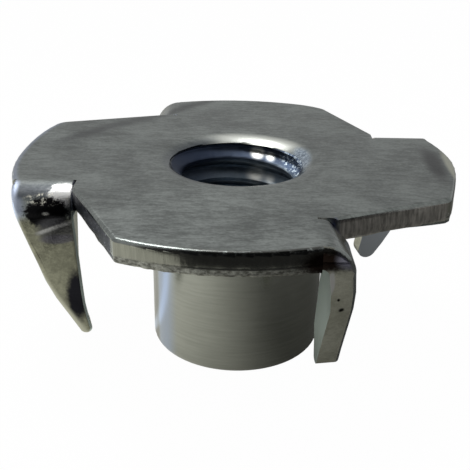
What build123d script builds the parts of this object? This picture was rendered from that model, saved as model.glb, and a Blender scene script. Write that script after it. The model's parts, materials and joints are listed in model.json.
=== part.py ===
"""A four-prong tee nut, stamped, drawn and folded from one piece of steel sheet.

The nut stands on the end of its barrel, with the flange on top. The origin is below the
middle of the flange, level with the end of the barrel, and +Z points up through the
flange. Every length is in millimetres and every angle in degrees.
"""
import os
from math import cos, radians, sin, sqrt

from build123d import *

# The sheet, the flange and the barrel that was drawn down out of it, a little off the
# middle of the flange
sheet_thickness = 0.95
flange_radius = 9.5
overall_height = 8.6
barrel_radius = 3.85
barrel_offset = 0.12
root_radius = 0.4
barrel_end_radius = 0.3

# The bore, plain at the minor radius of its M6 thread, with its wide drawn mouth on top
# and a cone that leads into the thread below
bore_radius = 2.5
mouth_edge_radius = 3.65
mouth_radius = 1.3
bore_chamfer = 0.55

# The prongs, one at the end of each lobe: places are measured from the middle of the
# flange, and depths from its top
prong_count = 4
prong_face = 4.27
prong_inner_edge = 6.4
prong_straight_depth = 4.4
prong_point_place = 5.85
prong_point_depth = 7.35
prong_point_radius = 0.2
prong_edge_bulge = 0.36
fold_inner_radius = 0.3

# The one prong that was cut fuller and blunter than the others
full_prong_turn = 1
full_point_depth = 7.65
full_point_radius = 0.45
full_edge_bulge = 0.8

# The notches that free the prongs, and the soft edges that the punch leaves on top. The
# free corners of the lobes are listed from the +X prong on, counterclockwise.
notch_angle = 26.0
notch_corner_place = 4.0
lobe_corner_radii = (0.6, 2.0, 0.9, 0.25)
rolled_edge_radius = 0.18

# The flange and the folds, worked out from those sizes
flange_underside = overall_height - sheet_thickness
mouth_middle_height = overall_height - mouth_radius
mouth_bottom = mouth_middle_height + sqrt(mouth_radius**2 - (mouth_edge_radius - bore_radius) ** 2)
root_edge_radius = barrel_radius + root_radius
fold_outer_radius = fold_inner_radius + sheet_thickness
fold_axis_height = overall_height - fold_outer_radius
fold_start = prong_face - fold_outer_radius
rim_at_fold = sqrt(flange_radius**2 - fold_start**2)
prong_back = prong_face - sheet_thickness

# Where the barrel stands
barrel_plane = Pos(barrel_offset, 0, 0) * Plane.XZ
barrel_axis = Axis((barrel_offset, 0, 0), (0, 0, 1))

# The straight edge of a notch, from the corner beside the prong out to the rim
notch_run = Vector(cos(radians(notch_angle)), sin(radians(notch_angle)))
notch_corner = Vector(notch_corner_place, -prong_inner_edge)
along_notch = notch_corner.dot(notch_run)
notch_length = sqrt(flange_radius**2 - notch_corner.length**2 + along_notch**2) - along_notch
lobe_corner = notch_corner + notch_run * notch_length
notch_middle = notch_corner + notch_run * notch_length / 2
past_the_rim = notch_corner + notch_run * 2 * flange_radius


# One notch: it runs in beside the fold, round the corner where the prong was cut free,
# and back out of the rim along its straight edge.
with BuildPart() as notch:
    with BuildSketch(Plane.XY.offset(flange_underside)):
        with BuildLine():
            Polyline(
                (fold_start, -2 * flange_radius),
                (fold_start, -prong_inner_edge),
                (notch_corner.X, notch_corner.Y),
                (past_the_rim.X, past_the_rim.Y),
                (past_the_rim.X, -2 * flange_radius),
                close=True,
            )
        make_face()
    extrude(amount=sheet_thickness)


def folded_prong(point_depth, point_radius, edge_bulge):
    """One prong with its fold, beside the notch that freed it."""
    point_height = overall_height - point_depth
    with BuildPart() as prong:
        # The sheet as it is folded, extruded along the fold
        with BuildSketch(Plane.XZ.offset(prong_point_place)):
            with BuildLine():
                RadiusArc(
                    (fold_start, overall_height),
                    (prong_face, fold_axis_height),
                    fold_outer_radius,
                )
                Polyline(
                    (prong_face, fold_axis_height),
                    (prong_face, point_height),
                    (prong_back, point_height),
                    (prong_back, fold_axis_height),
                )
                RadiusArc(
                    (prong_back, fold_axis_height),
                    (fold_start, flange_underside),
                    -fold_inner_radius,
                )
                Line((fold_start, flange_underside), (fold_start, overall_height))
            make_face()
        extrude(amount=rim_at_fold - prong_point_place)

        # The outline of the fang, and what lies outside it cut away
        with BuildSketch(Plane.YZ.offset(fold_start)):
            with BuildLine():
                inner_edge = Line(
                    (-prong_inner_edge, overall_height),
                    (-prong_inner_edge, overall_height - prong_straight_depth),
                )
                hook = TangentArc(
                    inner_edge @ 1,
                    (-prong_point_place, point_height),
                    tangent=inner_edge % 1,
                )
                outer_edge = SagittaArc(hook @ 1, (-rim_at_fold, overall_height), edge_bulge)
                Line(outer_edge @ 1, inner_edge @ 0)
            make_face()
            fillet(vertices().sort_by(Axis.Y)[0], point_radius)
        extrude(amount=fold_outer_radius, mode=Mode.INTERSECT)

        # The rolled edge follows the outline of the outer face, and goes on round the fold
        outer_face = faces().sort_by(Axis.X)[-1]
        fillet(outer_face.edges().sort_by(Axis.Z)[:-1], rolled_edge_radius)
    return prong.part


# The whole nut. The flange is a plain disc around the barrel, and the barrel a turned
# section, with the rounded mouth that drawing leaves on top and a small radius under the
# flange.
with BuildPart() as tee_nut:
    with BuildSketch(Plane.XY.offset(flange_underside)):
        Circle(flange_radius)
        with Locations((barrel_offset, 0)):
            Circle(root_edge_radius, mode=Mode.SUBTRACT)
    extrude(amount=sheet_thickness)

    with BuildSketch(barrel_plane):
        with BuildLine():
            bore_wall = Line((bore_radius, bore_chamfer), (bore_radius, mouth_bottom))
            RadiusArc(bore_wall @ 1, (mouth_edge_radius, overall_height), mouth_radius)
            Polyline(
                (mouth_edge_radius, overall_height),
                (root_edge_radius, overall_height),
                (root_edge_radius, flange_underside),
            )
            RadiusArc(
                (root_edge_radius, flange_underside),
                (barrel_radius, flange_underside - root_radius),
                -root_radius,
            )
            barrel_wall = Line(
                (barrel_radius, flange_underside - root_radius),
                (barrel_radius, barrel_end_radius),
            )
            RadiusArc(barrel_wall @ 1, (barrel_radius - barrel_end_radius, 0), barrel_end_radius)
            Polyline(
                (barrel_radius - barrel_end_radius, 0),
                (bore_radius + bore_chamfer, 0),
                bore_wall @ 0,
            )
        make_face()
    revolve(axis=barrel_axis)

    with PolarLocations(0, prong_count) as turns:
        add(notch.part, mode=Mode.SUBTRACT)

    # Each lobe's free corner is rounded, and then its top edge is softened from the
    # notch, round that corner and along the rim to the next fold.
    for turn, corner_radius in zip(turns, lobe_corner_radii):
        corner = turn * Pos(lobe_corner.X, lobe_corner.Y, flange_underside)
        fillet(edges().filter_by(Axis.Z).sort_by_distance(corner.position)[0], corner_radius)
    for turn in turns:
        middle = turn * Pos(notch_middle.X, notch_middle.Y, overall_height)
        fillet(edges().sort_by_distance(middle.position)[0], rolled_edge_radius)

    plain_prong = folded_prong(prong_point_depth, prong_point_radius, prong_edge_bulge)
    full_prong = folded_prong(full_point_depth, full_point_radius, full_edge_bulge)
    for number, turn in enumerate(turns):
        add((full_prong if number == full_prong_turn else plain_prong).moved(turn))

os.makedirs("parts", exist_ok=True)
tee_nut.part.label = "tee_nut"
export_step(tee_nut.part, "parts/tee_nut.step")
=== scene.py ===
# %% [markdown]
# # A pronged tee nut
#
# A tee nut is stamped out of steel sheet: the middle is drawn down into a barrel and
# threaded, and the ends of four lobes are folded down into prongs that bite into wood.
# This lesson dresses the solid model of one. The solid holds every size, so we start by
# loading it as a fixed frame, and everything that we make sits in the same place and in
# the same units: metres, with Z up.

# %% Load the solid
import json
from math import cos, hypot, pi, radians, sin, sqrt

import bpy
import bmesh
from mathutils import Matrix, Vector, noise

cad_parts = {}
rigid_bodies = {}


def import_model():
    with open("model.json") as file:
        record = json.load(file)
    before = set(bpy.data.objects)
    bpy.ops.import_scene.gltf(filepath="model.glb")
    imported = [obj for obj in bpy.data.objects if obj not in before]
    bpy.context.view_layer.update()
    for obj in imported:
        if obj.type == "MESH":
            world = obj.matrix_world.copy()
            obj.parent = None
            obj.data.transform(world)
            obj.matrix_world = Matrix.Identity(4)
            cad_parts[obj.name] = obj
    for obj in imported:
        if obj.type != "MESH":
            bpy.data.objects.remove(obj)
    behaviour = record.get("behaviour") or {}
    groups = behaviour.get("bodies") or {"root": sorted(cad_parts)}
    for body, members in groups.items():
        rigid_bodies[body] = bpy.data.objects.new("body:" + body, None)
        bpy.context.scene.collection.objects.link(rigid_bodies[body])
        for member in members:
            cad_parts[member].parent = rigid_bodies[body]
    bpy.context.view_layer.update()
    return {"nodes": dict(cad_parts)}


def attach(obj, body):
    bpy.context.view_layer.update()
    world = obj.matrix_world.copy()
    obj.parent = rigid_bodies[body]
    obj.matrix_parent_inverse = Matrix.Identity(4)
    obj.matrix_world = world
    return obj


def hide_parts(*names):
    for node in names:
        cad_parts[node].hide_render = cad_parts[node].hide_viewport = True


for leftover in list(bpy.data.objects):
    bpy.data.objects.remove(leftover)

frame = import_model()
solid = frame["nodes"]["tee_nut"]
MM = 0.001
print("solid", len(solid.data.polygons), "faces")

# %% [markdown]
# The sizes of the real nut that we need again. They are the solid's own sizes, in
# millimetres, and the thread is an ordinary M6 one, which rises 1 mm in each turn. The
# last value is the slack that we allow when we look for faces by their place.

# %% Sizes
TOP = 8.6
SHEET = 0.95
UNDERSIDE = TOP - SHEET
BARREL_X = 0.12
BARREL_RADIUS = 3.85
PRONG_FACE = 4.27
PRONG_INNER_EDGE = 6.4
FOLD_RADIUS = 1.25
FOLD_START = PRONG_FACE - FOLD_RADIUS
MINOR_RADIUS = 2.5
MAJOR_RADIUS = 3.0
PITCH = 1.0
MOUTH_RADIUS = 1.3
MOUTH_EDGE = 3.65
CHAMFER_EDGE = 3.05
HAIR = 0.01

# %% [markdown]
# ## The camera
#
# The picture was taken from close by, about 36 mm from the nut and 25 degrees above it,
# with the camera turned by one degree. We build that view as a photographer would: tilt
# first, then the small turn about the line of sight.

# %% Camera
EYE_PLACE = Vector((0.0144, -33.921, 20.460))
LOOKING_DOWN = 24.648
TURNED_BY = 0.97

eye = bpy.data.cameras.new("eye")
eye.sensor_width = 36.0
eye.lens = 62.78
eye.clip_start = 0.001
eye.clip_end = 10.0
camera = bpy.data.objects.new("camera", eye)
bpy.context.scene.collection.objects.link(camera)
tilt = Matrix.Rotation(radians(90 - LOOKING_DOWN), 4, "X")
turn = Matrix.Rotation(radians(TURNED_BY), 4, "Z")
camera.matrix_world = Matrix.Translation(EYE_PLACE * MM) @ tilt @ turn
bpy.context.scene.camera = camera
print("camera", round((EYE_PLACE - Vector((0, 0, TOP))).length, 1), "mm from the flange")

# %% [markdown]
# ## Helpers for modelling
#
# An operator works on whatever is selected, so each step first lets everything go and
# then picks its faces, edges or vertices by where they are.

# %% Helpers for modelling
SELECT_MODES = {"verts": "VERT", "edges": "EDGE", "faces": "FACE"}


def only(thing):
    """Selects one object and makes it the active one."""
    bpy.ops.object.select_all(action="DESELECT")
    thing.select_set(True)
    bpy.context.view_layer.objects.active = thing


def pick(thing, kind, wanted):
    """In edit mode, selects only the vertices, edges or faces that wanted says yes to."""
    bpy.ops.mesh.select_mode(type=SELECT_MODES[kind])
    bpy.ops.mesh.select_all(action="DESELECT")
    mesh = bmesh.from_edit_mesh(thing.data)
    count = 0
    for part in getattr(mesh, kind):
        if wanted(part):
            part.select_set(True)
            count += 1
    mesh.select_flush_mode()
    bmesh.update_edit_mesh(thing.data)
    return count


def from_axis(point):
    """How far a point lies from the barrel's axis, in millimetres."""
    return hypot(point.x / MM - BARREL_X, point.y / MM)


# %% [markdown]
# ## The shell
#
# The outside of the nut is the solid's own outside, so we take a copy of its mesh. The
# copy is loose triangles, so its doubles are merged first. Then the plain wall of the
# bore is cut away, from the barrel's end to the top of the rounded mouth, to make room
# for a real thread. A face belongs to that wall where all its corners lie on the curve of
# the mouth, the bore and the lead-in, so we write that curve down first.

# %% Copy the solid and open its bore
def mouth(z):
    """The radius of the drawn mouth, the bore and the lead-in at a height."""
    up = min(max(z - (TOP - MOUTH_RADIUS), 0), MOUTH_RADIUS)
    drawn = MOUTH_EDGE - sqrt(MOUTH_RADIUS**2 - up**2)
    return max(drawn, CHAMFER_EDGE - max(z, 0), MINOR_RADIUS)


def is_bore_wall(face):
    """True for the plain bore with its mouth and lead-in."""
    return all(from_axis(v.co) < mouth(v.co.z / MM) + HAIR for v in face.verts)


shell = bpy.data.objects.new("pronged_nut", solid.data.copy())
bpy.context.scene.collection.objects.link(shell)
only(shell)
bpy.ops.mesh.customdata_custom_splitnormals_clear()
bpy.ops.object.mode_set(mode="EDIT")
bpy.ops.mesh.select_all(action="SELECT")
bpy.ops.mesh.remove_doubles(threshold=0.0005 * MM)
bpy.ops.mesh.mark_sharp(clear=True)
bore_faces = pick(shell, "faces", is_bore_wall)
bpy.ops.mesh.delete(type="FACE")
bpy.ops.object.mode_set(mode="OBJECT")
print("bore faces cut away", bore_faces)

# %% [markdown]
# ## The thread
#
# A thread is one small profile that climbs as it turns. We draw the profile of one turn
# by extruding a single vertex from corner to corner, with small flats at the crest and
# the root and a soft corner beside each, and then the Screw modifier sweeps it round and
# up. It starts below the barrel and ends above the flange, so that both ends can be cut
# clean.

# %% Sweep the thread
CREST_CORNER = MINOR_RADIUS + 0.035
ROOT_CORNER = MAJOR_RADIUS - 0.03
CORNERS = (
    (CREST_CORNER, 0.0),
    (MINOR_RADIUS, 0.05),
    (MINOR_RADIUS, 0.20),
    (CREST_CORNER, 0.25),
    (ROOT_CORNER, 0.53),
    (MAJOR_RADIUS, 0.57),
    (MAJOR_RADIUS, 0.67),
    (ROOT_CORNER, 0.71),
    (CREST_CORNER, PITCH),
)
TURNS = 12
STEPS_IN_A_TURN = 160

bpy.ops.object.select_all(action="DESELECT")
bpy.ops.mesh.primitive_plane_add(size=0.2 * MM)
thread = bpy.context.object
thread.name = "thread"
bpy.ops.object.mode_set(mode="EDIT")
bpy.ops.mesh.select_mode(type="VERT")
net = bmesh.from_edit_mesh(thread.data)
bmesh.ops.delete(net, geom=net.verts[1:], context="VERTS")
net.verts.ensure_lookup_table()
net.verts[0].co = Vector((CORNERS[0][0], 0, CORNERS[0][1])) * MM
net.verts[0].select_set(True)
bmesh.update_edit_mesh(thread.data)
for (r0, z0), (r1, z1) in zip(CORNERS, CORNERS[1:]):
    bpy.ops.mesh.extrude_vertices_move(
        TRANSFORM_OT_translate={"value": Vector((r1 - r0, 0, z1 - z0)) * MM}
    )
bpy.ops.object.mode_set(mode="OBJECT")
screw = thread.modifiers.new("turns", "SCREW")
screw.angle = 2 * pi
screw.screw_offset = PITCH * MM
screw.iterations = TURNS
screw.steps = STEPS_IN_A_TURN
screw.render_steps = STEPS_IN_A_TURN
bpy.ops.object.modifier_apply(modifier="turns")
bpy.ops.object.mode_set(mode="EDIT")
bpy.ops.mesh.select_all(action="SELECT")
bpy.ops.mesh.remove_doubles(threshold=0.002 * MM)
bpy.ops.object.mode_set(mode="OBJECT")
print("thread", len(thread.data.polygons), "faces")

# %% [markdown]
# The crests seen in the far wall tell us how the thread stands: one passes a known height
# at a known angle round the axis, and the thread is lowered to match. A tap cuts through
# the drawn mouth, so wherever the mouth is wider than the thread, each vertex moves out to
# the mouth's curve. Rings are cut round the thread at small steps there first, because a
# curve needs vertices to follow it. The lead-in at the barrel's end is made the same way.
# The first and the last ring are drawn in by a hair, which leaves a narrow flat to fill
# between them and the shell.

# %% Fit the thread into the mouth
CREST_HEIGHT = 7.59
CREST_ANGLE = 67
CREST_MIDDLE = 0.125
RING_STEP = 0.05
RINGS = 20
TOP_RING = 0.999 * TOP
SEAM = 0.02
ON_THE_CUT = 1e-7

only(thread)
bpy.ops.object.mode_set(mode="EDIT")
bpy.ops.mesh.select_all(action="SELECT")
shift = (CREST_HEIGHT - CREST_MIDDLE - PITCH * CREST_ANGLE / 360) % PITCH - 2 * PITCH
bpy.ops.transform.translate(value=(0, 0, shift * MM))
for step in range(RINGS):
    bpy.ops.mesh.select_all(action="SELECT")
    bpy.ops.mesh.bisect(
        plane_co=(0, 0, (TOP - RING_STEP * step) * MM), plane_no=(0, 0, 1),
        clear_outer=step == 0, threshold=ON_THE_CUT,
    )
bpy.ops.mesh.select_all(action="SELECT")
bpy.ops.mesh.bisect(
    plane_co=(0, 0, 0), plane_no=(0, 0, -1), clear_outer=True, threshold=ON_THE_CUT
)
bpy.ops.mesh.select_all(action="SELECT")
bpy.ops.mesh.normals_make_consistent(inside=False)
bpy.ops.object.mode_set(mode="OBJECT")
for vertex in thread.data.vertices:
    radius = hypot(vertex.co.x, vertex.co.y) / MM
    fitted = max(radius, mouth(vertex.co.z / MM))
    if vertex.co.z > TOP_RING * MM or vertex.co.z < ON_THE_CUT:
        fitted -= SEAM
    vertex.co.x = vertex.co.x * (fitted / radius) + BARREL_X * MM
    vertex.co.y = vertex.co.y * (fitted / radius)
heights = [vertex.co.z / MM for vertex in thread.data.vertices]
print("thread from", round(min(heights), 3), "to", round(max(heights), 3))

# %% [markdown]
# The shell and the thread are one piece of steel, so they are joined. At each end two open
# rings then face each other, the shell's and the thread's. They have different numbers of
# vertices, which a bridge joins badly, so both rings are selected and the flat between
# them is filled.

# %% Join the thread to the shell
only(shell)
thread.select_set(True)
bpy.ops.object.join()
bpy.ops.object.mode_set(mode="EDIT")
for height in (TOP, 0.0):
    ring_edges = pick(
        shell, "edges",
        lambda edge: edge.is_boundary and all(abs(v.co.z / MM - height) < HAIR for v in edge.verts),
    )
    print("ring edges at", height, ring_edges)
    bpy.ops.mesh.fill(use_beauty=False)
bpy.ops.mesh.select_all(action="SELECT")
bpy.ops.mesh.normals_make_consistent(inside=False)
bpy.ops.object.mode_set(mode="OBJECT")
net = bmesh.new()
net.from_mesh(shell.data)
print("open edges left", sum(edge.is_boundary for edge in net.edges))
print("volume", round(net.calc_volume() / MM**3, 1), "cubic mm")
net.free()

# %% [markdown]
# ## The sheared edges
#
# A punch leaves three bands on a cut edge: a rolled lip on top, a smooth band where the
# punch rubbed, and a torn band below with a small burr. The solid has the lip, and the
# torn band is made here. First we need to find the sheared faces. The four prongs are the
# same but for quarter turns, so a place is turned back to the first prong, at the front
# right, and one rule serves all four.

# %% Find the sheared faces
UPRIGHT = 0.3
CLEAR_OF_BARREL = 5
PAST_THE_LOBE = -5.0
FOLD_FADE = 0.5


def turned(point, quarter):
    """A point or direction, turned back by quarter turns to the first prong."""
    x, y = point.x, point.y
    for _ in range(quarter):
        x, y = y, -x
    return Vector((x, y, point.z))


def off_the_folds(point):
    """0 on a prong's fold, rising to 1 a little way along the rim from it."""
    share = 1
    for quarter in range(4):
        place = turned(point, quarter)
        if place.x > 0 and place.y < -PRONG_INNER_EDGE - HAIR:
            share = min(share, max((FOLD_START + HAIR - place.x) / FOLD_FADE, 0))
    return share


def is_flange_edge(face):
    """True for the vertical faces round the flange and along its notches."""
    middle = face.calc_center_median() / MM
    upright = abs(face.normal.z) < UPRIGHT and UNDERSIDE - HAIR < middle.z
    return upright and hypot(middle.x, middle.y) > CLEAR_OF_BARREL and off_the_folds(middle) > 0


def is_prong_edge(face):
    """True for the narrow sides and the points of the four prongs."""
    middle = face.calc_center_median() / MM
    for quarter in range(4):
        place = turned(middle, quarter)
        normal = turned(face.normal, quarter)
        on_prong = FOLD_START < place.x < PRONG_FACE and place.y < PAST_THE_LOBE
        side = abs(normal.x) < UPRIGHT < abs(normal.y)
        point = normal.z < -0.5 and (place.z < UNDERSIDE or abs(normal.y) > UPRIGHT)
        if on_prong and (side or point):
            return True
    return False


# %% [markdown]
# The torn band is cut free with a bisect, divided finely and pushed in and out with noise,
# more and more toward the underside. This is real geometry, so the burr also breaks up the
# nut's outline a little. The folds were never sheared, so the band fades out beside them.

# %% Cut the torn band free
TORN_TOP = UNDERSIDE + 0.3

only(shell)
bpy.ops.object.mode_set(mode="EDIT")
pick(shell, "faces", is_flange_edge)
bpy.ops.mesh.bisect(plane_co=(0, 0, TORN_TOP * MM), plane_no=(0, 0, 1), threshold=ON_THE_CUT)
torn = pick(
    shell, "faces",
    lambda face: is_flange_edge(face) and face.calc_center_median().z < TORN_TOP * MM,
)
bpy.ops.mesh.subdivide(number_cuts=7, quadcorner="INNERVERT")
bpy.ops.object.mode_set(mode="OBJECT")
print("torn faces", torn, "vertices now", len(shell.data.vertices))

# %% Push the torn band in and out
TORN_DEPTH = 0.05
TORN_SLOPE = 0.1
COARSE = 2.1
FINE = 7.0
FINE_SHARE = 0.8


def is_torn(face):
    """True for the faces of the torn band, also once they are uneven."""
    middle = face.calc_center_median() / MM
    in_band = UNDERSIDE + HAIR / 2 < middle.z < TORN_TOP
    at_the_edge = hypot(middle.x, middle.y) > CLEAR_OF_BARREL
    return in_band and at_the_edge and off_the_folds(middle) > 0


moved = 0
for vertex in shell.data.vertices:
    x, y, z = vertex.co / MM
    radius = hypot(x, y)
    if UNDERSIDE - HAIR < z < TORN_TOP - HAIR and radius > CLEAR_OF_BARREL:
        depth = (TORN_TOP - z) / (TORN_TOP - UNDERSIDE)
        coarse = noise.noise(Vector((x, y, z)) * COARSE)
        fine = noise.noise(Vector((x, y, z * 2)) * FINE)
        push = depth * (TORN_DEPTH * (coarse + FINE_SHARE * fine) - TORN_SLOPE)
        push *= off_the_folds(vertex.co / MM)
        vertex.co.x += push * x / radius * MM
        vertex.co.y += push * y / radius * MM
        moved += 1
print("torn vertices moved", moved)

# %% [markdown]
# ## Prongs a little out of true
#
# When a prong is folded down, the side that was sheared last springs toward the barrel, so
# every prong stands turned by some degrees about an upright line. The turn grows below the
# fold, is full a little further down, and eases off again toward the tip. The tips wander
# too: each may slide sideways, drop, and lean outward. The front left prong was drawn out
# the most. The press would be hard to imitate, so we move each vertex by its depth below
# the fold: not at all at the fold, and the more the further down it lies.

# %% Turn the prongs
TWIST_TOP = TOP - FOLD_RADIUS
TWIST_FULL = TWIST_TOP - 1.6
TWIST_LINE = (PRONG_FACE - SHEET / 2, -7.5)
TWIST_LOST = 0.6
PRONG_TIP = 1.25
PRONG_INSIDE = 3.0
PRONG_OUTSIDE = PRONG_FACE + 0.2

# For each prong, from the front right one round the back to the front left one: the
# degrees of its turn, and how far its tip slides, drops and leans
TWISTS = (14, 14, 14, 25)
TIP_MOVES = ((0.0, 0.0, 0.17), (0.27, 0.0, 0.0), (0.0, 0.0, 0.0), (0.28, -0.56, 0.0))


def eased(share):
    """A share from 0 to 1, with a soft start and a soft end."""
    return share * share * (3 - 2 * share)


moved = 0
for vertex in shell.data.vertices:
    for quarter, (slide, drop, lean) in enumerate(TIP_MOVES):
        place = turned(vertex.co / MM, quarter)
        below_the_fold = place.z < TWIST_TOP and place.y < PAST_THE_LOBE
        if below_the_fold and PRONG_INSIDE < place.x < PRONG_OUTSIDE:
            amount = min((TWIST_TOP - place.z) / (TWIST_TOP - TWIST_FULL), 1)
            down = (TWIST_TOP - place.z) / (TWIST_TOP - PRONG_TIP)
            angle = radians(TWISTS[quarter]) * eased(amount) * (1 - TWIST_LOST * down**3)
            across = place.x - TWIST_LINE[0]
            out = place.y - TWIST_LINE[1]
            place.x = TWIST_LINE[0] + across * cos(angle) - out * sin(angle)
            place.y = TWIST_LINE[1] + across * sin(angle) + out * cos(angle)
            place.y += slide * down
            place.z += drop * down
            place.x += lean * down * down
            vertex.co = turned(place, (4 - quarter) % 4) * MM
            moved += 1
print("prong vertices turned", moved)

# %% [markdown]
# ## Bent lobes
#
# The press also left each lobe a little different: the left one stands up, the right one
# is pressed in, the back one bulges, and the front right notch sags. Each bend is a point,
# how far it moves, and how far round it the metal follows, with a soft falloff as in
# proportional editing. The last two bends push the front left prong outward.

# %% Bend the lobes
BENDS = (
    (Vector((-8.4, 4.0, 8.1)), Vector((0.0, 0.05, 0.22)), 4.2),
    (Vector((9.3, -2.6, 8.1)), Vector((-0.16, 0.0, -0.07)), 3.0),
    (Vector((5.4, 7.4, 8.1)), Vector((0.2, 0.16, 0.05)), 2.2),
    (Vector((4.2, -6.3, 8.3)), Vector((-0.22, 0.0, -0.08)), 0.9),
    (Vector((8.3, -4.6, 7.2)), Vector((0.04, -0.02, -0.16)), 2.2),
    (Vector((-8.2, -4.3, 3.6)), Vector((-0.30, 0.0, 0.0)), 3.2),
    (Vector((-7.1, -4.3, 1.7)), Vector((-0.34, 0.0, 0.0)), 1.5),
)
bent = 0
for vertex in shell.data.vertices:
    place = vertex.co / MM
    for centre, move, reach in BENDS:
        nearness = max(1 - (place - centre).length / reach, 0)
        vertex.co += move * eased(nearness) * MM
        bent += nearness > 0
print("bends felt by vertices", bent)

# %% [markdown]
# The nut has broad flats beside thin rounded edges. Smooth shading would spread the bend of
# an edge over the flat beside it, so edges sharper than 32 degrees stay sharp, and the
# Weighted Normal modifier lets the larger faces decide.

# %% Smooth the shading
SHARPER_THAN = 32

only(shell)
bpy.ops.object.shade_smooth_by_angle(angle=radians(SHARPER_THAN))
weights = shell.modifiers.new("flat faces first", "WEIGHTED_NORMAL")
weights.keep_sharp = True
weights.weight = 60
bpy.ops.object.modifier_apply(modifier="flat faces first")
print("faces of the dressed nut", len(shell.data.polygons))

# %% [markdown]
# ## Writing materials as sums
#
# A material is a net of nodes, but a mask is easier to read as a sum. So one small class
# wraps a socket and lets Python's own signs add the Math nodes, and another keeps the
# material and makes every other node.

# %% A wire and a finish
class Wire:
    """One output socket, on which ordinary sums add Math nodes."""

    def __init__(self, finish, socket):
        self.finish = finish
        self.socket = socket

    def maths(self, operation, first, second):
        return self.finish.add("ShaderNodeMath", {"operation": operation}, {0: first, 1: second})

    def __add__(self, other):
        return self.maths("ADD", self, other)

    def __radd__(self, other):
        return self.maths("ADD", other, self)

    def __sub__(self, other):
        return self.maths("SUBTRACT", self, other)

    def __rsub__(self, other):
        return self.maths("SUBTRACT", other, self)

    def __mul__(self, other):
        return self.maths("MULTIPLY", self, other)

    def __rmul__(self, other):
        return self.maths("MULTIPLY", other, self)

    def at_least(self, least):
        return self.maths("MAXIMUM", self, least)

    def to_the_power(self, power):
        return self.maths("POWER", self, power)


class Finish:
    """A material under construction."""

    def __init__(self, name):
        self.material = bpy.data.materials.new(name)
        self.material.use_nodes = True
        self.tree = self.material.node_tree
        self.shader = self.tree.nodes["Principled BSDF"]
        coordinates = self.add("ShaderNodeTexCoord", {}, {}, "Object")
        self.place = self.add(
            "ShaderNodeVectorMath", {"operation": "SCALE"}, {0: coordinates, "Scale": 1 / MM}
        )
        self.facing = self.add("ShaderNodeTexCoord", {}, {}, "Normal")

    def add(self, kind, settings, values, output=0):
        """Adds a node: its settings first, then the values or links of its sockets."""
        node = self.tree.nodes.new(kind)
        for name, setting in settings.items():
            setattr(node, name, setting)
        for socket, value in values.items():
            self.feed(node.inputs[socket], value)
        return Wire(self, node.outputs[output])

    def feed(self, socket, value):
        """Links a wire to a socket, or sets its plain value."""
        if isinstance(value, Wire):
            self.tree.links.new(value.socket, socket)
        else:
            socket.default_value = value

    def along(self, axis, vector=None):
        """One coordinate of the place, in millimetres, or of another vector."""
        return self.add("ShaderNodeSeparateXYZ", {}, {0: vector or self.place}, axis)

    def rise(self, value, low, high):
        """A soft step: 0 below low, 1 above high."""
        return self.add(
            "ShaderNodeMapRange", {"interpolation_type": "SMOOTHSTEP"},
            {"Value": value, "From Min": low, "From Max": high},
        )

    def fall(self, value, low, high):
        """A soft step the other way: 1 below low, 0 above high."""
        return 1 - self.rise(value, low, high)

    def distance(self, centre, size):
        """How far the place is from a centre, where each axis has its own unit."""
        offset = self.add("ShaderNodeVectorMath", {"operation": "SUBTRACT"}, {0: self.place, 1: centre})
        scaled = self.add("ShaderNodeVectorMath", {"operation": "DIVIDE"}, {0: offset, 1: size})
        return self.add("ShaderNodeVectorMath", {"operation": "LENGTH"}, {0: scaled}, "Value")

    def near(self, centre, size, wobble=0.0, soft=0.3):
        """1 inside an ellipsoid and 0 outside it. The wobble makes its border ragged."""
        return self.fall(self.distance(centre, size) + wobble, 1 - soft, 1 + soft)

    def grain(self, stretch, scale, detail=3.0, roughness=0.55):
        """Noise from 0 to 1, drawn out along the axes where stretch is small."""
        drawn = self.add(
            "ShaderNodeVectorMath", {"operation": "MULTIPLY"}, {0: self.place, 1: stretch}
        )
        return self.add(
            "ShaderNodeTexNoise", {},
            {"Vector": drawn, "Scale": scale, "Detail": detail, "Roughness": roughness},
        )

    def blend(self, mask, low, high):
        """Mixes two colours, each a wire or three numbers."""
        low = low if isinstance(low, Wire) else (*low, 1)
        high = high if isinstance(high, Wire) else (*high, 1)
        return self.add(
            "ShaderNodeMix", {"data_type": "RGBA"}, {"Factor": mask, 6: low, 7: high}, 2
        )

    def cover(self, shader):
        """Takes another shader in place of the metal."""
        self.feed(self.tree.nodes["Material Output"].inputs["Surface"], shader)

    def finish(self, colour, roughness, height, depth):
        """Links the shader's sockets. The bump's depth is in millimetres."""
        self.shader.inputs["Metallic"].default_value = 1.0
        self.feed(self.shader.inputs["Base Color"], colour)
        self.feed(self.shader.inputs["Roughness"], roughness)
        bump = self.add("ShaderNodeBump", {}, {"Height": height, "Distance": depth * MM})
        self.feed(self.shader.inputs["Normal"], bump)
        print(self.material.name, len(self.tree.nodes), "nodes")
        return self.material


# %% [markdown]
# ## Zinc on the flat of the sheet
#
# Bright zinc is a pale grey metal with a faint green and blue cast. On the flange it is
# satin: rolling left fine lines in the sheet, and barrel plating left small marks and
# cloudy patches. Each of these is a noise of its own, drawn out along the lines where
# there are any. Where a face leans away from the flat, on the folds and the rolled edges,
# the zinc was rubbed brighter. The front of the flange is brushed a little more coarsely,
# and the left side is darkened by a painted faint shade.

# %% The sheet's own zinc
ZINC_DARK = (0.15, 0.165, 0.158)
ZINC_LIGHT = (0.30, 0.325, 0.312)
PAINTED_FAINT_SHADE = (0.05, 0.052, 0.05)


def toned(colour, share):
    """A colour made lighter or darker, the same in each part."""
    return tuple(part * share for part in colour)


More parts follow.
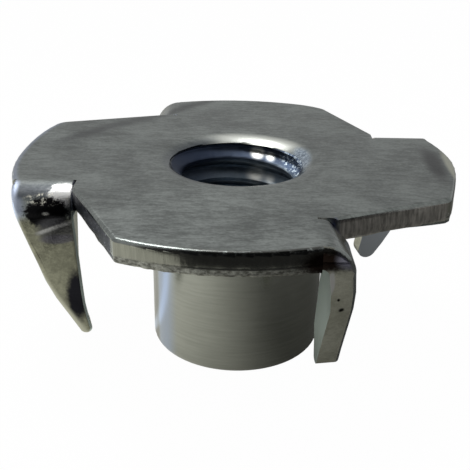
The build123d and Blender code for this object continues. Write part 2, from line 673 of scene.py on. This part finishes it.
class SheetZinc(Finish):
    """The sheet's finish, with the grains and masks that its marks share."""

    def __init__(self):
        super().__init__("zinc on the sheet")
        self.x = self.along("X")
        self.y = self.along("Y")
        self.z = self.along("Z")
        self.clouds = self.grain((1, 1, 1), 0.5, 4)
        self.marks = self.grain((0.5, 1.6, 1), 2.6, 5, 0.7)
        self.brushed = self.grain((1.2, 5.0, 1), 2.4, 4, 0.7)
        self.specks = self.grain((1, 1, 1), 9.0, 2)
        self.crumbs = self.grain((1, 1, 1), 6.0, 4, 0.7)
        self.front = self.fall(self.y, -7.0, -2.5)
        self.flat = self.rise(self.along("Z", self.facing), 0.85, 0.99)
        scuffs = 0.18 * self.specks + (0.2 + 0.15 * self.front) * self.brushed - 0.08 * self.front
        self.tone = self.rise(0.25 * self.clouds + 0.35 * self.marks + scuffs, 0.37, 0.61)


def satin_and_bright(zinc):
    """Satin zinc on the flat, and brighter zinc where a face leans away from it."""
    satin = zinc.blend(zinc.tone, toned(ZINC_DARK, 0.8), toned(ZINC_LIGHT, 0.88))
    bright = zinc.blend(zinc.tone, toned(ZINC_DARK, 1.2), toned(ZINC_LIGHT, 1.1))
    # The left side is darkened a little by a painted faint shade.
    satin = zinc.blend(0.16 * zinc.fall(zinc.x, -6.5, -1.0), satin, PAINTED_FAINT_SHADE)
    return zinc.blend(zinc.flat, bright, satin)


# %% [markdown]
# The lobes mirror the room in bands where the press bent them, and these bands are painted
# reflections in the zinc's colour. The left band is straight, so it is measured from a line
# across the left lobe. The right one is an ellipsoid beside the right lobe's end, and a
# painted pale reflection follows its edge. Along the rim the lip's reflections are painted
# too: blue at the left, and at the front nearly black, with breaks from a noise.

# %% Painted reflections on the lobes and along the rim
LEFT_LINE = (0.769, -0.64, 7.05)
RIGHT_REFLECTION_BAND = ((8.6, -0.3, 8.6), (0.45, 2.2, 2.0))
RIGHT_EDGE_REFLECTION = ((9.35, -0.8, 8.4), (0.3, 2.4, 0.6))
FLAT_RULER = (1, 1, 1000)
BAND_REFLECTION_BLACK = (0.03, 0.03, 0.035)
BAND_REFLECTION_GREY = (0.04, 0.04, 0.042)
PALE_OLIVE_REFLECTION = (0.42, 0.43, 0.36)
RIM_BLUE_REFLECTION = (0.40, 0.45, 0.58)
LIP_BLACK_REFLECTION = (0.06, 0.06, 0.055)


def reflections_painted_on_the_lobes(zinc, colour):
    across, along, offset = LEFT_LINE
    from_line = across * zinc.x + along * zinc.y + offset
    # A painted dark reflection along a line across the left lobe.
    left_reflection_band = zinc.rise(from_line, -0.7, -0.1) * zinc.fall(from_line, 0.0, 0.6)
    left_reflection_band = left_reflection_band * zinc.rise(zinc.y, 0.8, 2.5)
    colour = zinc.blend(0.5 * left_reflection_band * zinc.flat, colour, BAND_REFLECTION_BLACK)
    # A painted grey reflection beside the right lobe's end, and a painted pale reflection at its edge.
    right_reflection_band = zinc.near(*RIGHT_REFLECTION_BAND, 0.3 * zinc.clouds, 0.5)
    colour = zinc.blend(0.8 * right_reflection_band, colour, BAND_REFLECTION_GREY)
    return zinc.blend(zinc.near(*RIGHT_EDGE_REFLECTION), colour, PALE_OLIVE_REFLECTION)


def reflections_painted_along_the_rim(zinc, colour):
    from_middle = zinc.distance((0, 0, 8.5), FLAT_RULER)
    # A painted blue reflection on the left rim.
    left_rim_reflection = zinc.rise(from_middle, 9.15, 9.5) * zinc.fall(zinc.x, -8.9, -7.5)
    colour = zinc.blend(0.8 * left_rim_reflection, colour, RIM_BLUE_REFLECTION)
    # A painted near-black reflection on the front lip, broken up by a noise.
    front_lip_reflection = zinc.rise(zinc.z, 8.3, 8.4) * zinc.rise(from_middle, 9.3, 9.36)
    front_lip_reflection = front_lip_reflection * zinc.fall(zinc.y, -7.0, -6.0) * zinc.rise(zinc.x, -2.6, -0.6)
    front_lip_reflection = front_lip_reflection * zinc.fall(zinc.crumbs, 0.52, 0.62) * zinc.fall(zinc.x, 2.8, 3.3)
    return zinc.blend(0.85 * front_lip_reflection, colour, LIP_BLACK_REFLECTION)


# %% [markdown]
# The rounded mouth is the brightest place of the flange on its far side, where a painted
# white highlight sits, and a painted shade makes it dark on the left. At its right end a
# noise picks light and dark painted sparkles. A small painted navy shade sits in the
# corner of the front right notch.

# %% The rounded mouth
FAR_LIP_HIGHLIGHT = ((1.0, 3.0, 8.5), (2.5, 1.7, 2.0))
MOUTH_SPARKS = ((2.95, 0.7, 8.35), (0.45, 1.2, 0.25))
NOTCH_SHADE_SPOT = ((3.7, -6.75, 8.4), (0.2, 0.35, 0.5))
LIP_HIGHLIGHT_WHITE = (0.42, 0.43, 0.40)
LIP_SHADE = (0.07, 0.08, 0.10)
SPARKLE_DARK = (0.22, 0.27, 0.33)
SPARKLE_LIGHT = (0.62, 0.72, 0.82)
NAVY_SHADE = (0.015, 0.025, 0.12)


def light_in_the_mouth(zinc, colour):
    """Gives the colour, and the mask of the painted white highlight on the lip."""
    from_the_axis = zinc.distance((BARREL_X, 0, 8.4), FLAT_RULER)
    # A painted white highlight on the far side of the mouth.
    far_side_highlight = zinc.near(*FAR_LIP_HIGHLIGHT, 0.5 * zinc.clouds - 0.25, 0.35)
    lip = far_side_highlight * zinc.fall(from_the_axis, 3.3, 3.7) * zinc.rise(zinc.z, 7.9, 8.1)
    colour = zinc.blend(0.8 * lip, colour, LIP_HIGHLIGHT_WHITE)
    # A painted shade on the mouth's left side.
    left_lip_shade = zinc.fall(from_the_axis, 2.9, 3.5) * zinc.fall(zinc.x, -1.6, -0.6)
    colour = zinc.blend(0.7 * left_lip_shade, colour, LIP_SHADE)
    # Painted sparkles at the mouth's right end, light and dark by a noise.
    sparks = zinc.near(*MOUTH_SPARKS, 0.8 * zinc.crumbs - 0.4, 0.4)
    sparkle_tones = zinc.blend(zinc.rise(zinc.crumbs, 0.4, 0.65), SPARKLE_DARK, SPARKLE_LIGHT)
    colour = zinc.blend(sparks, colour, sparkle_tones)
    # A painted navy shade in the corner of the front right notch.
    colour = zinc.blend(zinc.near(*NOTCH_SHADE_SPOT, 0.6 * zinc.crumbs - 0.3), colour, NAVY_SHADE)
    return colour, lip


# %% [markdown]
# The front left prong faces the room, and its bend works like a bent mirror. Its
# reflections are painted into the zinc's colour. From the top down it has a painted glare
# on the bend, with the rest of the bend painted darker and rougher as a painted shade that
# dims the real highlight, painted sparkles beside the glare, a painted black reflection
# with a ragged border and a painted spark in it, a painted curl of light, a painted grey
# reflection and a painted grey band, and a painted dark reflection near the tip. Its outer
# edge carries a painted bright sheen, blue on the fold and olive below, which follows the
# fang's outline. Below the bend the prong is tinted olive. We could leave all this to
# reflections, but they would move with the light, so they are painted into the zinc. A mask
# keeps them on the prong.

# %% Painted reflections on the front left prong
GLARE = ((-6.78, -3.8, 8.26), (0.58, 0.8, 0.40))
BLACK_REFLECTION_PATCH = ((-7.45, -4.2, 7.63), (0.88, 0.9, 0.58))
SPARKLE = ((-7.35, -4.0, 8.13), (0.9, 0.6, 0.2))
PATCH_SPARK = ((-7.47, -4.2, 7.62), (0.12, 0.4, 0.06))
BELOW_REFLECTION_PATCH = ((-7.1, -4.3, 6.95), (0.75, 1.0, 0.5))
GREY_REFLECTION_BAND = ((-7.0, -4.3, 6.55), (0.75, 1.0, 0.2))
DARK_TIP_REFLECTION = ((-6.5, -4.2, 3.8), (0.42, 1.0, 1.2))
CURL_SLOPE = 0.37
CURL_HEIGHT = 9.72
STRIP_EDGE = -8.95
STRIP_BEND = 2.55
FANG_TOP = 8.0
FANG_LENGTH = 6
FANG_CURVE = 1.5

OLIVE = ((0.22, 0.22, 0.165), (0.38, 0.38, 0.285))
BEND_SHADE_GREY = ((0.07, 0.078, 0.088), (0.15, 0.16, 0.17))
EDGE_SHEEN_TINTS = ((0.48, 0.48, 0.39), (0.70, 0.78, 0.95))
GLARE_WHITE = (0.95, 0.95, 0.93)
REFLECTION_PATCH_BLACK = (0.011, 0.011, 0.012)
WARM_WHITE = (0.9, 0.88, 0.75)
SPARK_WHITE = (0.55, 0.55, 0.52)
UNDER_REFLECTION_GREY = (0.10, 0.10, 0.11)
CURL_REFLECTION_GREY = (0.50, 0.50, 0.50)
PURPLE_GREY_REFLECTION = (0.15, 0.145, 0.17)
TIP_REFLECTION_BLACK = (0.02, 0.02, 0.025)


def reflections_painted_on_the_front_left_prong(zinc, colour):
    """Gives the colour, and the mask of the bend's painted darker part."""
    inner_edge = -5.4 - 0.96 * zinc.rise(zinc.z, 7.5, 7.62)
    on_prong = zinc.fall(zinc.x - inner_edge, -0.06, 0.0) * zinc.fall(zinc.y, -3.7, -3.0)
    ragged = 0.9 * zinc.crumbs - 0.45

    low = on_prong * zinc.fall(zinc.z, 7.2, 7.6)
    colour = zinc.blend(low, colour, zinc.blend(zinc.tone, *OLIVE))
    # A painted glare on the bend, and the rest of the bend painted darker as a painted shade that dims
    # the real highlight.
    glare = zinc.near(*GLARE, ragged)
    dimmed_bend = on_prong * zinc.rise(zinc.z, 8.05, 8.3) * (1 - glare)
    colour = zinc.blend(dimmed_bend, colour, zinc.blend(zinc.tone, *BEND_SHADE_GREY))
    colour = zinc.blend(on_prong * glare, colour, GLARE_WHITE)
    # A painted black reflection with a ragged border, and painted sparks on and beside it.
    colour = zinc.blend(on_prong * zinc.near(*BLACK_REFLECTION_PATCH, ragged, 0.12), colour, REFLECTION_PATCH_BLACK)
    sparkle = zinc.near(*SPARKLE) * zinc.rise(zinc.crumbs, 0.53, 0.63)
    colour = zinc.blend(on_prong * sparkle, colour, WARM_WHITE)
    colour = zinc.blend(zinc.near(*PATCH_SPARK, 0.0, 0.6), colour, SPARK_WHITE)

    # A painted curl of light, a painted grey reflection and a painted grey band below the black one.
    curl = zinc.z - CURL_SLOPE * zinc.x - CURL_HEIGHT
    curl_line = zinc.rise(curl, -0.16, -0.02) * zinc.fall(curl, 0.02, 0.10)
    below_reflection = on_prong * zinc.near(*BELOW_REFLECTION_PATCH)
    colour = zinc.blend(0.85 * below_reflection, colour, UNDER_REFLECTION_GREY)
    colour = zinc.blend(below_reflection * curl_line, colour, CURL_REFLECTION_GREY)
    colour = zinc.blend(0.8 * on_prong * zinc.near(*GREY_REFLECTION_BAND), colour, PURPLE_GREY_REFLECTION)
    # A painted dark reflection near the tip.
    colour = zinc.blend(zinc.near(*DARK_TIP_REFLECTION, 0.5 * zinc.crumbs - 0.25), colour, TIP_REFLECTION_BLACK)

    # A painted bright sheen along the outer edge, blue on the fold and olive below.
    fallen = ((FANG_TOP - zinc.z) * (1 / FANG_LENGTH)).at_least(0.0)
    outline = STRIP_BEND * fallen.to_the_power(FANG_CURVE) + STRIP_EDGE
    strip = on_prong * zinc.fall(zinc.x - outline, 0.15, 0.4)
    colour = zinc.blend(strip, colour, zinc.blend(zinc.rise(zinc.z, 7.0, 7.6), *EDGE_SHEEN_TINTS))
    return colour, dimmed_bend


# %% [markdown]
# The prongs' inner faces look at the bright side of the room, so they get a painted pale
# reflection and are rougher. A face points inward where its normal and its place have
# opposite directions, so their dot product is below zero there. The back right prong is
# painted the palest.

# %% The sheet's finish put together
INNER_PALE_REFLECTION = (0.62, 0.70, 0.66)
INNER_PALEST_REFLECTION = (0.88, 0.94, 1.0)


def light_on_the_inner_faces(zinc, colour):
    """Gives the colour, and the mask of the inner faces."""
    inward = zinc.add(
        "ShaderNodeVectorMath", {"operation": "DOT_PRODUCT"}, {0: zinc.facing, 1: zinc.place}, "Value"
    )
    inner = zinc.fall(inward, -1.5, 0.0) * zinc.fall(zinc.z, 7.2, 7.6)
    # The inner faces get a painted pale reflection, palest on the back right prong.
    tint = zinc.blend(zinc.rise(zinc.x, 4.9, 5.2), INNER_PALE_REFLECTION, INNER_PALEST_REFLECTION)
    return zinc.blend(inner, colour, tint), inner


def zinc_on_the_sheet():
    zinc = SheetZinc()
    colour = satin_and_bright(zinc)
    colour = reflections_painted_on_the_lobes(zinc, colour)
    colour = reflections_painted_along_the_rim(zinc, colour)
    colour, lip = light_in_the_mouth(zinc, colour)
    colour, dimmed_bend = reflections_painted_on_the_front_left_prong(zinc, colour)
    colour, inner = light_on_the_inner_faces(zinc, colour)
    roughness = 0.2 + zinc.flat * (0.08 + 0.16 * zinc.clouds) + 0.04 * zinc.marks
    roughness = roughness + 0.25 * inner + 0.14 * lip + 0.35 * dimmed_bend
    texture = 0.4 * zinc.marks + 0.4 * zinc.specks + 0.6 * zinc.front * zinc.brushed
    return zinc.finish(colour, roughness, texture, 0.009)


# %% [markdown]
# ## Zinc on the sheared edges
#
# The punch drags the metal down, so a sheared edge has fine upright lines. Round the rim
# it rubbed the upper band as smooth as a mirror, and the torn band below stayed grey and
# crumbly. The notches were cut with more drag, which shows in their upright lines. The
# right ones are brown-grey, and the left ones are painted nearly black as a painted dark
# reflection, with bright crumbs. The prongs' edges were filed by the die: olive grey, and
# the front right one has a few pits, a white scratch, a dark brown patch beside its fold
# and a pale lavender patch on it. At the rim's right end sits a painted pale olive
# reflection, and the front right notch's corner is painted a lighter grey against its dark
# reflection.

# %% Zinc on the sheared edges
RIM_START = 9.3
BAND_START = UNDERSIDE - 0.05
BAND_FULL = UNDERSIDE - 0.01
DARK_BROWN_PATCH = ((3.1, -9.0, 8.0), (0.85, 0.9, 0.5))
LAVENDER_FOLD = ((3.95, -8.9, 8.15), (0.4, 0.6, 0.42))
WHITE_SCRATCH = ((3.4, -8.6, 7.0), (0.13, 0.5, 0.55))
PITS = (((3.74, -8.34, 6.24), (0.05, 0.3, 0.07)), ((3.9, -8.12, 5.72), (0.10, 0.3, 0.09)))
RIGHT_END_REFLECTION = ((9.0, -3.7, 8.1), (0.45, 0.8, 0.8))
NOTCH_CORNER_LIGHTENING = ((3.4, -6.4, 8.35), (0.5, 0.05, 0.4))

RIGHT_NOTCH = ((0.24, 0.23, 0.21), (0.68, 0.65, 0.60))
LEFT_NOTCH_DARK_REFLECTION = ((0.025, 0.03, 0.045), (0.10, 0.105, 0.125))
LEFT_CRUMBS = (0.6, 0.62, 0.66)
RUBBED = ((0.30, 0.305, 0.26), (0.38, 0.385, 0.33))
TORN = ((0.17, 0.17, 0.15), (0.58, 0.59, 0.54))
FILED = ((0.60, 0.60, 0.49), (0.88, 0.88, 0.76))
DARK_BROWN = (0.03, 0.02, 0.016)
LAVENDER = (0.50, 0.50, 0.62)
SCRATCH_WHITE = (0.9, 0.9, 0.88)
PIT_BLACK = (0.02, 0.02, 0.015)
END_OLIVE_REFLECTION = (0.80, 0.80, 0.66)
PAINTED_LIGHT_GREY = (0.30, 0.32, 0.32)


def zinc_on_sheared_edges():
    zinc = Finish("zinc on sheared edges")
    drag = zinc.grain((3.2, 3.2, 0.35), 2.2, 4, 0.65)
    clouds = zinc.grain((1, 1, 1), 0.9, 3)
    crumbs = zinc.grain((1, 1, 1.5), 5.0, 4, 0.7)
    height = zinc.along("Z")
    out = zinc.add(
        "ShaderNodeVectorMath", {"operation": "MULTIPLY"}, {0: zinc.place, 1: (1, 1, 0)}
    )
    radius = zinc.add("ShaderNodeVectorMath", {"operation": "LENGTH"}, {0: out}, "Value")
    rim = zinc.rise(radius, RIM_START, RIM_START + 0.1) * zinc.rise(height, BAND_START, BAND_FULL)
    torn = rim * zinc.fall(height + 0.12 * crumbs, UNDERSIDE + 0.30, UNDERSIDE + 0.42)
    prong = zinc.fall(height, UNDERSIDE - 0.1, UNDERSIDE + 0.1)

    notch_tone = zinc.rise(0.7 * drag + 0.3 * clouds, 0.35, 0.7)
    # The left notches are painted nearly black, a painted dark reflection.
    left_notch = zinc.blend(notch_tone, *LEFT_NOTCH_DARK_REFLECTION)
    left_notch = zinc.blend(zinc.rise(crumbs, 0.62, 0.68), left_notch, LEFT_CRUMBS)
    right_notch = zinc.blend(notch_tone, *RIGHT_NOTCH)
    notch = zinc.blend(zinc.rise(zinc.along("X"), -1.0, 1.0), left_notch, right_notch)
    rubbed = zinc.blend(zinc.rise(drag, 0.3, 0.8), *RUBBED)
    ragged = zinc.blend(zinc.rise(crumbs, 0.35, 0.65), *TORN)
    filed = zinc.blend(zinc.rise(0.5 * crumbs + 0.5 * clouds, 0.3, 0.7), *FILED)
    colour = zinc.blend(rim, notch, rubbed)
    colour = zinc.blend(torn, colour, ragged)
    colour = zinc.blend(prong, colour, filed)

    wobble = 0.8 * crumbs - 0.4
    colour = zinc.blend(zinc.near(*DARK_BROWN_PATCH, wobble, 0.45), colour, DARK_BROWN)
    colour = zinc.blend(zinc.near(*LAVENDER_FOLD, 0.0, 0.5), colour, LAVENDER)
    colour = zinc.blend(zinc.near(*WHITE_SCRATCH, wobble), colour, SCRATCH_WHITE)
    for pit in PITS:
        colour = zinc.blend(zinc.near(*pit, wobble, 0.5), colour, PIT_BLACK)
    # A painted pale olive reflection at the rim's right end.
    colour = zinc.blend(zinc.near(*RIGHT_END_REFLECTION), colour, END_OLIVE_REFLECTION)
    # A painted lighter grey in the front right notch corner, against its dark reflection.
    colour = zinc.blend(zinc.near(*NOTCH_CORNER_LIGHTENING), colour, PAINTED_LIGHT_GREY)
    roughness = 0.38 - 0.16 * rim + 0.3 * torn + 0.15 * prong
    texture = (1 - torn) * (0.3 - 0.2 * rim) * drag + torn * crumbs + prong * 0.4 * crumbs
    return zinc.finish(colour, roughness, texture, 0.04)


# %% [markdown]
# ## Zinc on the drawn barrel
#
# The die rubbed the barrel bright as it was drawn, and left fine rings round it. A round
# wall mirrors the room in upright stripes. Most of them come from the floor and the cards,
# and only the blue stripe near the left edge and the dark edge itself are painted in, as a
# painted blue reflection and a painted dark edge.

# %% Zinc on the barrel
BARREL_TONES = ((0.33, 0.34, 0.30), (0.40, 0.41, 0.365))
BLUE_REFLECTION_STRIPE = (0.37, 0.42, 0.50)
PAINTED_DARK_EDGE = (0.19, 0.19, 0.16)


def zinc_on_the_barrel():
    zinc = Finish("zinc on the barrel")
    rings = zinc.grain((0.25, 0.25, 5.0), 2.0, 4, 0.6)
    clouds = zinc.grain((1, 1, 1), 0.6, 3)
    x = zinc.along("X")
    colour = zinc.blend(zinc.rise(0.6 * rings + 0.4 * clouds, 0.3, 0.7), *BARREL_TONES)
    # A painted blue reflection stripe near the left edge, and a painted dark edge.
    blue_reflection = zinc.rise(x, -3.5, -3.25) * zinc.fall(x, -3.0, -2.4)
    colour = zinc.blend(blue_reflection, colour, BLUE_REFLECTION_STRIPE)
    colour = zinc.blend(zinc.fall(x, -3.5, -3.3), colour, PAINTED_DARK_EDGE)
    return zinc.finish(colour, 0.2 + 0.08 * clouds, rings, 0.003)


# %% [markdown]
# ## Zinc in the thread
#
# The tap left the thread smooth. The zinc inside is blue, with painted light and shade:
# painted paler below, on the lit turns of the far wall, and painted darker near the mouth
# and on the left. A few painted glints sit on the crests of the far wall. Each is a painted
# highlight: a spot with a strength, where the colour is whiter and the roughness lower.
# Some painted sparkles sit beside the mouth's right end.

# %% Zinc in the thread
PAINTED_GLINTS = (
    ((1.0, 2.7, 7.95), (0.25, 0.5, 0.2), 1.0),
    ((1.6, 2.36, 7.86), (0.18, 0.5, 0.13), 0.5),
    ((0.95, 2.6, 6.9), (0.34, 0.5, 0.28), 0.9),
    ((1.6, 2.3, 6.8), (0.2, 0.5, 0.16), 0.5),
)
THREAD_SPARKS = ((2.7, 1.2, 8.0), (0.7, 1.5, 0.45))
UPPER_BLUE_SHADE = ((0.03, 0.042, 0.07), (0.085, 0.105, 0.145))
LOWER_BLUE_LIT = ((0.13, 0.17, 0.21), (0.30, 0.36, 0.42))
LEFT_BLUE_SHADE = (0.025, 0.035, 0.065)
GLINT_HIGHLIGHT_WHITE = (0.92, 0.92, 0.85)
THREAD_SPARKLE_TONES = ((0.10, 0.14, 0.22), (0.8, 0.92, 1.0))


def zinc_in_the_thread():
    zinc = Finish("zinc in the thread")
    chatter = zinc.grain((1, 1, 1.6), 3.0, 3)
    crumbs = zinc.grain((1, 1, 1), 6.0, 4, 0.7)
    # Painted paler blue below, and painted darker blue near the mouth and on the left.
    upper_shade = zinc.blend(chatter, *UPPER_BLUE_SHADE)
    lower_lit = zinc.blend(chatter, *LOWER_BLUE_LIT)
    colour = zinc.blend(zinc.rise(zinc.along("Z"), 7.55, 7.75), lower_lit, upper_shade)
    colour = zinc.blend(0.7 * zinc.fall(zinc.along("X"), -1.9, 0.2), colour, LEFT_BLUE_SHADE)
    roughness = 0.46 + 0.12 * chatter
    # Painted glints on the far wall's crests.
    for spot, size, strength in PAINTED_GLINTS:
        painted_glint = zinc.near(spot, size, 0.0, 0.75)
        colour = zinc.blend(strength * painted_glint, colour, GLINT_HIGHLIGHT_WHITE)
        roughness = roughness - 0.2 * painted_glint
    # Painted sparkles beside the mouth's right end.
    sparkle_tones = zinc.blend(zinc.rise(crumbs, 0.5, 0.6), *THREAD_SPARKLE_TONES)
    colour = zinc.blend(zinc.near(*THREAD_SPARKS), colour, sparkle_tones)
    return zinc.finish(colour, roughness, chatter, 0.01)


# %% [markdown]
# Each finish goes to its own faces. The sheet's finish is in the first slot, which every
# face has to begin with, and the others are given to faces that we find by their place.

# %% Give each face its finish
def is_sheared(face):
    """True for every face that the punch or the die cut."""
    return is_flange_edge(face) or is_torn(face) or is_prong_edge(face)


def on_the_barrel(face):
    """True for the outside of the barrel and its end."""
    middle = face.calc_center_median()
    return from_axis(middle) < BARREL_RADIUS + 0.05 and middle.z < UNDERSIDE * MM


def in_the_bore(face):
    """True for the thread, its lead-in and the steep lower half of the drawn mouth."""
    middle = face.calc_center_median()
    inside = all(from_axis(v.co) < CHAMFER_EDGE + 0.001 for v in face.verts)
    return inside and abs(face.normal.z) < 0.995 and middle.z < (TOP - 0.3) * MM


shell.data.materials.clear()
shell.data.materials.append(zinc_on_the_sheet())
finishes = (
    (zinc_on_sheared_edges(), is_sheared),
    (zinc_on_the_barrel(), on_the_barrel),
    (zinc_in_the_thread(), in_the_bore),
)
only(shell)
for slot, (finish, wanted) in enumerate(finishes, start=1):
    shell.data.materials.append(finish)
    bpy.ops.object.mode_set(mode="EDIT")
    print(finish.name, pick(shell, "faces", wanted), "faces")
    shell.active_material_index = slot
    bpy.ops.object.material_slot_assign()
    bpy.ops.object.mode_set(mode="OBJECT")
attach(shell, "root")
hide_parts("tee_nut")

# %% [markdown]
# ## The floor
#
# The nut stands on white. A diffuse white floor would look grey in the shade of the nut,
# so the camera sees it glow at a strength of one, which is pure white, with only a trace
# of the shadow. The light in the room was uneven, and polished metal shows that: to
# mirrored rays the floor goes from warm white on the left to nearly black on the right,
# with one bluish bright strip far out on the left. The barrel and the folds get their
# stripes from it. Diffuse light still comes from the plain white floor.

# %% Floor
FLOOR_WHITE = (0.9, 0.9, 0.9, 1)
DARK_SIDE = (0.05, 0.05, 0.045)
WARM_SIDE = (0.9, 0.9, 0.84)
BLUE_STRIP = (1.25, 1.35, 1.5)
SEEN_AS_WHITE = 0.985
SEEN_IN_METAL = 0.85

bpy.ops.object.select_all(action="DESELECT")
bpy.ops.mesh.primitive_plane_add(size=2.0)
floor = bpy.context.object
floor.name = "floor"
paper = Finish("white paper")
paper.shader.inputs["Base Color"].default_value = FLOOR_WHITE
paper.shader.inputs["Roughness"].default_value = 1.0
paper.shader.inputs["Specular IOR Level"].default_value = 0.0
outward = paper.add("ShaderNodeVectorMath", {"operation": "NORMALIZE"}, {0: paper.place})
to_the_right = paper.along("X", outward)
to_the_back = paper.along("Y", outward)
strip = paper.rise(to_the_back, -0.12, 0.0) * paper.fall(to_the_back, 0.08, 0.2)
strip = strip * paper.fall(to_the_right, -0.5, 0.0)
leftward = paper.rise(0.5 - 0.5 * to_the_right, 0.1, 1.1)
mirrored = paper.blend(strip, paper.blend(leftward, DARK_SIDE, WARM_SIDE), BLUE_STRIP)
seen = paper.add("ShaderNodeLightPath", {}, {}, "Is Camera Ray")
mirror = Wire(paper, seen.socket.node.outputs["Is Glossy Ray"])
glow = paper.add(
    "ShaderNodeEmission", {}, {"Color": paper.blend(mirror, (1, 1, 1), mirrored), "Strength": 1.0}
)
white = Wire(paper, paper.shader.outputs[0])
glow_share = SEEN_AS_WHITE * seen + SEEN_IN_METAL * mirror
paper.cover(paper.add("ShaderNodeMixShader", {}, {0: glow_share, 1: white, 2: glow}))
floor.data.materials.append(paper.material)
print("floor", round(floor.dimensions.x, 2), "m wide")

# %% [markdown]
# ## The light
#
# Highlights on the first fold, in the mouth and on the rim all point to one small lamp,
# high up and a little behind and left of the nut. The rest of the light is an even room.

# %% World and lamp
ROOM_LIGHT = 0.5
LAMP_DIRECTION = Vector((-0.26, 0.27, 0.93))
LAMP_DISTANCE = 60
LAMP_SIZE = 26
LAMP_POWER = 0.022

scene = bpy.context.scene
scene.view_settings.view_transform = "Standard"
room = bpy.data.worlds.new("room")
scene.world = room
room.use_nodes = True
room.node_tree.nodes["Background"].inputs["Color"].default_value = (1, 1, 1, 1)
room.node_tree.nodes["Background"].inputs["Strength"].default_value = ROOM_LIGHT

key = bpy.data.lights.new("key", "AREA")
key.shape = "DISK"
key.size = LAMP_SIZE * MM
key.energy = LAMP_POWER
lamp = bpy.data.objects.new("key", key)
scene.collection.objects.link(lamp)
lamp.location = (Vector((0, 0, 8)) + LAMP_DIRECTION * LAMP_DISTANCE) * MM
lamp.rotation_euler = LAMP_DIRECTION.to_track_quat("Z", "Y").to_euler()
print("lamp", [round(part / MM) for part in lamp.location], "mm")

# %% [markdown]
# Metal is seen by what it mirrors. In the picture something dark stands close in front,
# and shows as black in the rim and in the first fold. Two dark cards in front of the nut
# give the same, and only mirrored rays see them. The left one starts higher, so that the
# front left prong and the barrel's left side still mirror the bright floor.

# %% Dark cards
CARD_PLACE = -17.5
CARD_TOP = 45
FELT = (0.03, 0.03, 0.0315, 1)


def dark_card(name, left, right, bottom):
    """An upright card in front of the nut, seen only in reflections."""
    bpy.ops.object.select_all(action="DESELECT")
    bpy.ops.mesh.primitive_plane_add(size=1.0, rotation=(radians(90), 0, 0))
    card = bpy.context.object
    card.name = name
    card.scale = ((right - left) * MM, (CARD_TOP - bottom) * MM, 1)
    card.location = Vector(((left + right) / 2, CARD_PLACE, (bottom + CARD_TOP) / 2)) * MM
    card.visible_camera = False
    card.visible_diffuse = False
    card.visible_shadow = False
    card.visible_transmission = False
    card.visible_volume_scatter = False
    felt = Finish("dark felt " + name)
    felt.cover(felt.add("ShaderNodeEmission", {}, {"Color": FELT, "Strength": 1.0}))
    card.data.materials.append(felt.material)
    print(name, right - left, "mm wide")


dark_card("front card", -7, 20, 0.0)
dark_card("front left card", -12, -7, 5.0)
